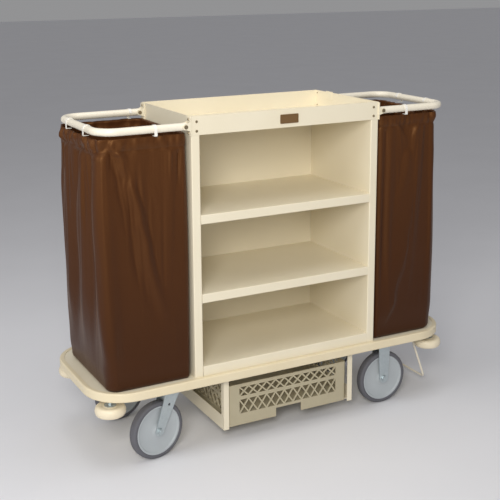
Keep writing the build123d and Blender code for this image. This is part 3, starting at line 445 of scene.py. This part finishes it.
def blend_rows(rows, height):
    """Values at a height, eased between the rows of (height, value, value, ...), which run downwards."""
    if height >= rows[0][0]:
        return rows[0][1:]
    for upper, lower in zip(rows, rows[1:]):
        if height >= lower[0]:
            share = (upper[0] - height) / (upper[0] - lower[0])
            share = share * share * (3 - 2 * share)
            return [a + (b - a) * share for a, b in zip(upper[1:], lower[1:])]
    return rows[-1][1:]


def outline_parts(half_x, half_y, corners):
    """Lengths of the nine runs round a bag, from the middle of its cabinet side and back to it."""
    arcs = [radius * pi / 2 for radius in corners]
    front, outer = 2 * half_x - corners[0] - corners[1], 2 * half_y - corners[1] - corners[2]
    rear = 2 * half_x - corners[2] - corners[3]
    return [half_y - corners[0], arcs[0], front, arcs[1], outer, arcs[2], rear, arcs[3], half_y - corners[3]]


def outline_point(run, share, half_x, half_y, corners):
    """Point and outward direction on a run of the outline, for a bag whose outer end points to +X.

    The corners are the radii at the cabinet front, the outer front, the outer rear and the cabinet rear."""
    near, outer, far, back = corners
    if run == 0:
        return Vector((-half_x, (near - half_y) * share)), Vector((-1, 0))
    if run == 8:
        return Vector((-half_x, (half_y - back) * (1 - share))), Vector((-1, 0))
    if run == 2:
        return Vector((near - half_x + (2 * half_x - near - outer) * share, -half_y)), Vector((0, -1))
    if run == 6:
        return Vector((half_x - far - (2 * half_x - far - back) * share, half_y)), Vector((0, 1))
    if run == 4:
        return Vector((half_x, outer - half_y + (2 * half_y - outer - far) * share)), Vector((1, 0))
    signs = {1: (-1, -1), 3: (1, -1), 5: (1, 1), 7: (-1, 1)}[run]
    radius = corners[run // 2]
    angle = {1: pi, 3: 1.5 * pi, 5: 0, 7: 0.5 * pi}[run] + share * pi / 2
    way = Vector((cos(angle), sin(angle)))
    centre = Vector((signs[0] * (half_x - radius), signs[1] * (half_y - radius)))
    return centre + radius * way, way


half_x = (BAG_OUTER - BAG_INNER) / 2
half_y = (BAG_REAR - BAG_FRONT) / 2
bag_runs = outline_parts(half_x, half_y, BAG_CORNERS)
bag_round = sum(bag_runs)
run_starts = [sum(bag_runs[:i]) for i in range(9)]
print("bag outline:", round(bag_round, 3), "m round")


def run_at(along):
    """The run, and the share of it, at a distance round the bag."""
    for run in range(8, -1, -1):
        if along >= run_starts[run]:
            return run, min((along - run_starts[run]) / bag_runs[run], 1.0)
    return 0, 0.0


def round_from_front(x):
    """Distance round the bag of a place on its front face, x from the cart's middle."""
    return run_starts[2] + (x - BAG_INNER - BAG_CORNERS[0])


def round_from_end(y):
    """Distance round the bag of a place on its outer end."""
    return run_starts[4] + (y - BAG_FRONT - BAG_CORNERS[1])


def column_place(across):
    """Distance round the bag of a grid column; the columns stand closer together where the folds are."""
    start, end = run_starts[1], run_starts[6]
    before = (1 - FINE_SHARE) * start / (bag_round - end + start)
    if across < before:
        return start * across / before
    if across < before + FINE_SHARE:
        return start + (end - start) * (across - before) / FINE_SHARE
    return end + (bag_round - end) * (across - before - FINE_SHARE) / (1 - before - FINE_SHARE)


# %% [markdown]
# ### Pleats
# A pleat is a line down the cloth with a depth and a width. Its line is given by a few points, height and
# distance round the bag, and it fades out at both ends. The left bag's longest pleat starts at the corner
# where the hoop bends and runs down across its front, and the right bag has one from its outer corner to
# its foot, with a pouch of slack cloth that hangs in a V below the hook.


# %% Pleats
def pleat(line, width, depth, fade=0.10, lean=1.0):
    """A pleat: line of (height, distance round), half width, outward depth, fade length, and how many
    times as wide it is on the side nearer the cabinet."""
    return {"line": sorted(line, reverse=True), "width": width, "depth": depth, "fade": fade, "lean": lean}


def pleat_push(fold, along, height):
    """How far a pleat pushes a point of the cloth outwards."""
    top, foot = fold["line"][0][0], fold["line"][-1][0]
    if not foot < height < top:
        return 0.0
    (centre,) = blend_rows(fold["line"], height)
    off = (along - centre) / (fold["width"] * (fold["lean"] if along < centre else 1.0))
    if abs(off) > 3:
        return 0.0
    ends = min((height - foot) / fold["fade"], (top - height) / 0.03, 1.0)
    ends = ends * ends * (3 - 2 * ends)
    return fold["depth"] * ends * exp(-off * off)


END, FRONT = round_from_end, round_from_front
LEFT_PLEATS = [
    pleat([(1.112, FRONT(0.640)), (1.036, FRONT(0.604)), (0.986, FRONT(0.584)), (0.858, FRONT(0.560)),
           (0.787, FRONT(0.545)), (0.430, FRONT(0.480))], 0.017, -0.0100, 0.40),
    pleat([(1.100, FRONT(0.622)), (1.036, FRONT(0.576)), (0.986, FRONT(0.556)), (0.858, FRONT(0.530)),
           (0.760, FRONT(0.510)), (0.400, FRONT(0.440))], 0.018, 0.0110, 0.40),
    pleat([(1.085, FRONT(0.590)), (0.858, FRONT(0.494)), (0.500, FRONT(0.430))], 0.022, -0.0060, 0.30),
    pleat([(1.085, FRONT(0.650)), (0.900, FRONT(0.640)), (0.500, FRONT(0.630)), (0.300, FRONT(0.625))],
          0.030, 0.0080, 0.20),
    pleat([(1.078, FRONT(0.400)), (0.930, FRONT(0.404))], 0.009, -0.0090, 0.12),
    pleat([(1.078, FRONT(0.428)), (0.940, FRONT(0.438))], 0.012, 0.0060, 0.12),
    pleat([(1.080, END(-0.096)), (0.746, END(-0.062)), (0.330, END(-0.030))], 0.030, 0.0150, 0.30),
    pleat([(1.080, END(-0.040)), (0.728, END(0.008)), (0.330, END(0.050))], 0.026, -0.0170, 0.30),
    pleat([(1.080, END(-0.158)), (0.766, END(-0.132)), (0.330, END(-0.105))], 0.024, -0.0160, 0.30),
    pleat([(1.080, END(0.045)), (0.700, END(0.075)), (0.380, END(0.095))], 0.030, 0.0130, 0.25),
    pleat([(1.080, END(0.102)), (0.740, END(0.128)), (0.460, END(0.135))], 0.022, -0.0110, 0.20),
    pleat([(1.080, END(-0.206)), (0.600, END(-0.208)), (0.330, END(-0.222))], 0.028, 0.0100, 0.12),
]
RIGHT_PLEATS = [
    pleat([(1.088, FRONT(0.588)), (0.924, FRONT(0.556)), (0.758, FRONT(0.529)), (0.646, FRONT(0.511)),
           (0.432, FRONT(0.456)), (0.300, FRONT(0.405))], 0.0120, 0.0085, 0.12, 5.0),
    pleat([(1.104, FRONT(0.436)), (1.060, FRONT(0.478)), (1.012, FRONT(0.512))], 0.012, 0.0050, 0.03),
    pleat([(1.090, FRONT(0.572)), (1.050, FRONT(0.548)), (1.012, FRONT(0.518))], 0.012, 0.0050, 0.03),
    pleat([(1.092, FRONT(0.505)), (1.030, FRONT(0.512))], 0.026, -0.0050, 0.04),
    pleat([(1.000, FRONT(0.512)), (0.960, FRONT(0.506)), (0.700, FRONT(0.455))], 0.022, 0.0040, 0.20),
    pleat([(1.080, FRONT(0.410)), (0.700, FRONT(0.402)), (0.400, FRONT(0.400))], 0.012, -0.0050, 0.25),
    pleat([(1.080, END(-0.090)), (0.700, END(-0.060)), (0.330, END(-0.040))], 0.030, 0.0130, 0.30),
    pleat([(1.080, END(-0.030)), (0.700, END(0.010)), (0.330, END(0.030))], 0.024, -0.0130, 0.30),
    pleat([(1.080, END(0.070)), (0.740, END(0.080)), (0.400, END(0.095))], 0.028, 0.0120, 0.25),
]


def gathered(along, height, seed, run):
    """Puckers of the gathered hem, and the small pleats that fan out below it."""
    loose = {2: 0.30, 3: 0.75, 4: 1.0, 5: 0.9, 6: 0.6}.get(run, 0.2)
    pucker = noise.noise(Vector((along * 58, height * 22, seed)))
    fan = noise.noise(Vector((along * 30, height * 2.2, seed + 7)))
    in_hem = min(max((height - HEM_SEAM + 0.012) / 0.02, 0), 1)
    below = exp(-max(HEM_SEAM - height, 0) / 0.16)
    return loose * (0.0140 * pucker * in_hem + 0.0110 * fan * below * (1 - 0.4 * in_hem))


def stitched(height):
    """Pinch of the hem's seam, and of the turned brim."""
    seam = -0.0022 * exp(-(((height - HEM_SEAM) / 0.0035) ** 2))
    plump = 0.0028 * exp(-(((height - (BAG_BRIM + HEM_SEAM) / 2) / 0.014) ** 2))
    return seam + plump


# %% [markdown]
# ### Shape and hang
# The outline's size changes with height: in under the hoop, out where the cloth is slack, and in again to
# the sewn bottom. The simulation holds the hem and the foot still, gives the cloth a little spare length,
# and lets gravity draw the rest. A cap keeps each point near its sculpted place, so the bag stays clear of
# the hoop and the cabinet, and the move fades towards the foot, where the sewn bottom keeps the cloth flat.

# %% Bag shape
LEFT_GIRTH = [
    (1.1170, -0.006, 0.001, 0.000, 1.00),
    (1.0770, -0.008, 0.001, 0.000, 1.00),
    (0.9000, -0.016, 0.005, 0.004, 0.95),
    (0.6000, -0.010, 0.006, 0.004, 0.85),
    (0.3600, -0.002, 0.003, 0.002, 0.75),
    (0.2950, 0.003, 0.000, 0.000, 0.72),
    (0.2813, 0.011, -0.008, -0.006, 0.70),
]
RIGHT_GIRTH = [
    (1.1170, 0.024, 0.001, 0.000, 1.00),
    (1.0770, 0.026, 0.001, 0.000, 1.00),
    (0.9300, 0.018, 0.004, 0.004, 0.95),
    (0.6300, 0.015, 0.005, 0.004, 0.85),
    (0.4000, 0.020, 0.003, 0.002, 0.75),
    (0.2950, 0.027, 0.000, 0.000, 0.72),
    (0.2813, 0.035, -0.008, -0.006, 0.70),
]


def row_height(row):
    """Height of a grid row, close together in the hem, and the depth that its turned-in part lies inside."""
    if row < TURNED_IN_ROWS:
        back = (TURNED_IN_ROWS - row) / TURNED_IN_ROWS
        return BAG_BRIM - back * (HEM_DEPTH - 0.006), -0.0035 if back > 0.1 else -0.0016
    row -= TURNED_IN_ROWS
    if row <= HEM_ROWS:
        return BAG_BRIM - row / HEM_ROWS * 0.075, 0.0
    share = (row - HEM_ROWS) / WALL_ROWS
    low = BAG_FLOOR + 0.0006
    return BAG_BRIM - 0.075 - share * (BAG_BRIM - 0.075 - low), 0.0


def cloth_point(side, girth, folds, seed, along, height, inside):
    """Place of a point of the bag's cloth, from its distance round and its height."""
    shrink, bulge_front, bulge_rear, roundness = blend_rows(girth, height)
    corners = [radius * roundness for radius in BAG_CORNERS]
    outer, inner = BAG_OUTER - shrink, BAG_INNER + 0.001
    front, rear = BAG_FRONT - bulge_front, BAG_REAR + bulge_rear
    run, share = run_at(along)
    wide, deep = (outer - inner) / 2, (rear - front) / 2
    point, way = outline_point(run, share, wide, deep, corners)
    push = stitched(height) + gathered(along, height, seed, run) + inside
    push += sum(pleat_push(fold, along, height) for fold in folds)
    if run in (0, 1, 7, 8):
        push = min(push, 0.002)
    place = Vector(((outer + inner) / 2, (front + rear) / 2)) + point + push * way
    return Vector((side * place.x, place.y, height))


def bag_cloth(side, girth, folds, seed):
    """Flat grid, with its cut as a UV map, rolled into the bag."""
    rows = TURNED_IN_ROWS + HEM_ROWS + WALL_ROWS
    bm = bmesh.new()
    bmesh.ops.create_grid(bm, x_segments=BAG_COLUMNS, y_segments=rows, size=0.5)
    cut = bm.loops.layers.uv.new("cut")
    for face in bm.faces:
        for loop in face.loops:
            across, down = loop.vert.co.x + 0.5, 0.5 - loop.vert.co.y
            loop[cut].uv = (column_place(across), row_height(down * rows)[0])
    for vert in bm.verts:
        across, down = vert.co.x + 0.5, 0.5 - vert.co.y
        height, inside = row_height(down * rows)
        along = column_place(across) if across < 0.9999 else 0.0
        vert.co = cloth_point(side, girth, folds, seed, along, height, inside)
    bmesh.ops.remove_doubles(bm, verts=bm.verts, dist=1e-5)
    return bm


CLOTH_FRAMES = 14
CLOTH_CAP = 0.004


def hang(piece, slack):
    """Short cloth simulation with the hem and the foot held; each point moves no more than the cap."""
    mesh = piece.data
    before = [vert.co.copy() for vert in mesh.vertices]
    held = piece.vertex_groups.new(name="held")
    for vert in mesh.vertices:
        hem = min(max((vert.co.z - HEM_SEAM + 0.03) / 0.03, 0), 1)
        foot = 1.0 if vert.co.z < BAG_FLOOR + 0.01 else 0.0
        held.add([vert.index], max(hem, foot), "REPLACE")
    cloth = piece.modifiers.new("cloth", "CLOTH")
    cloth.settings.vertex_group_mass = "held"
    cloth.settings.mass = 0.15
    cloth.settings.quality = 5
    cloth.settings.bending_stiffness = 0.6
    cloth.settings.shrink_min = -slack
    cloth.settings.effector_weights.gravity = 0.6
    cloth.collision_settings.use_collision = False
    cloth.collision_settings.use_self_collision = False
    scene = bpy.context.scene
    for step in range(1, CLOTH_FRAMES + 1):
        scene.frame_set(step)
    hung = piece.evaluated_get(bpy.context.evaluated_depsgraph_get()).data
    after = [vert.co.copy() for vert in hung.vertices]
    piece.modifiers.remove(cloth)
    scene.frame_set(1)
    for vert, old, new in zip(mesh.vertices, before, after):
        move = new - old
        settled = min(max((old.z - BAG_FLOOR) / 0.40, 0), 1)
        vert.co = old + move * settled * min(1.0, CLOTH_CAP / max(move.length, 1e-9))
    piece.vertex_groups.remove(held)


def sew_bottom(piece):
    """Closes the foot of the bag with a flat panel, a little above the platform."""
    bm = bmesh.new()
    bm.from_mesh(piece.data)
    foot = [e for e in bm.edges if e.is_boundary and e.verts[0].co.z < BAG_FLOOR + 0.01]
    ring = bmesh.ops.extrude_edge_only(bm, edges=foot)["geom"]
    verts = [v for v in ring if isinstance(v, bmesh.types.BMVert)]
    centre = sum((v.co for v in verts), Vector()) / len(verts)
    bmesh.ops.scale(bm, vec=(0.5, 0.5, 1), verts=verts, space=Matrix.Translation(-centre))
    rim = [e for e in bm.edges if e.is_boundary and e.verts[0].co.z < BAG_FLOOR + 0.01]
    bmesh.ops.contextual_create(bm, geom=rim)
    bm.to_mesh(piece.data)
    bm.free()


BAGS = (("left", LEFT_GIRTH, LEFT_PLEATS, 3.0), ("right", RIGHT_GIRTH, RIGHT_PLEATS, 41.0))
for side, girth, folds, seed in BAGS:
    node = "bag_" + side
    bag = make_piece("nylon_" + node, bag_cloth(SIDES[side], girth, folds, seed), node)
    hang(bag, 0.004)
    sew_bottom(bag)
    for face in bag.data.polygons:
        face.use_smooth = True
    skin = bag.modifiers.new("skin", "SOLIDIFY")
    skin.thickness = 0.0008
    skin.offset = -1
    print(bag.name, len(bag.data.vertices), "points")

# %% [markdown]
# ## Floor and light
# The cart stands in a plain pale studio. A broad soft light from the front left does most of the work, as
# a window-sized softbox would, and the pale surroundings fill the shadows. The floor is one large plane.

# %% Floor
bm = bmesh.new()
bmesh.ops.create_grid(bm, x_segments=1, y_segments=1, size=30)
floor_mesh = bpy.data.meshes.new("studio_floor")
bm.to_mesh(floor_mesh)
bm.free()
floor = bpy.data.objects.new("studio_floor", floor_mesh)
bpy.context.scene.collection.objects.link(floor)
paper, tree, shader, place = new_material("studio_paper", {"Roughness": 0.85})
mottle = add(tree, "ShaderNodeTexNoise", {"Vector": place, "Scale": 2.0})
tones = {"Fac": mottle.outputs["Fac"], "Color1": linear("#E4E4E8"), "Color2": linear("#EAEAEE")}
tree.links.new(add(tree, "ShaderNodeMixRGB", tones).outputs["Color"], shader.inputs["Base Color"])
finish_mesh(floor_mesh, paper)


# %% Lights
def softbox(name, place, aim, size, power, tone="#FFFFFF"):
    """Square area light at a place, turned to face a point."""
    data = bpy.data.lights.new(name, "AREA")
    data.size = size
    data.energy = power
    data.color = linear(tone)[:3]
    light = bpy.data.objects.new(name, data)
    bpy.context.scene.collection.objects.link(light)
    light.location = place
    light.rotation_euler = (Vector(aim) - Vector(place)).to_track_quat("-Z", "Y").to_euler()


softbox("key_softbox", (-2.3, -3.6, 2.5), (0, 0, 0.80), 1.4, 118, "#FFFDF8")
softbox("top_softbox", (-0.4, -0.6, 3.4), (0, 0, 0.6), 2.2, 30)
softbox("left_softbox", (-3.6, -0.6, 2.0), (0, 0, 0.8), 1.2, 22)

world = bpy.data.worlds.new("studio")
world.use_nodes = True
world.node_tree.nodes["Background"].inputs["Color"].default_value = linear("#F4F4F6")
world.node_tree.nodes["Background"].inputs["Strength"].default_value = 0.32
bpy.context.scene.world = world
bpy.context.scene.view_settings.view_transform = "Standard"
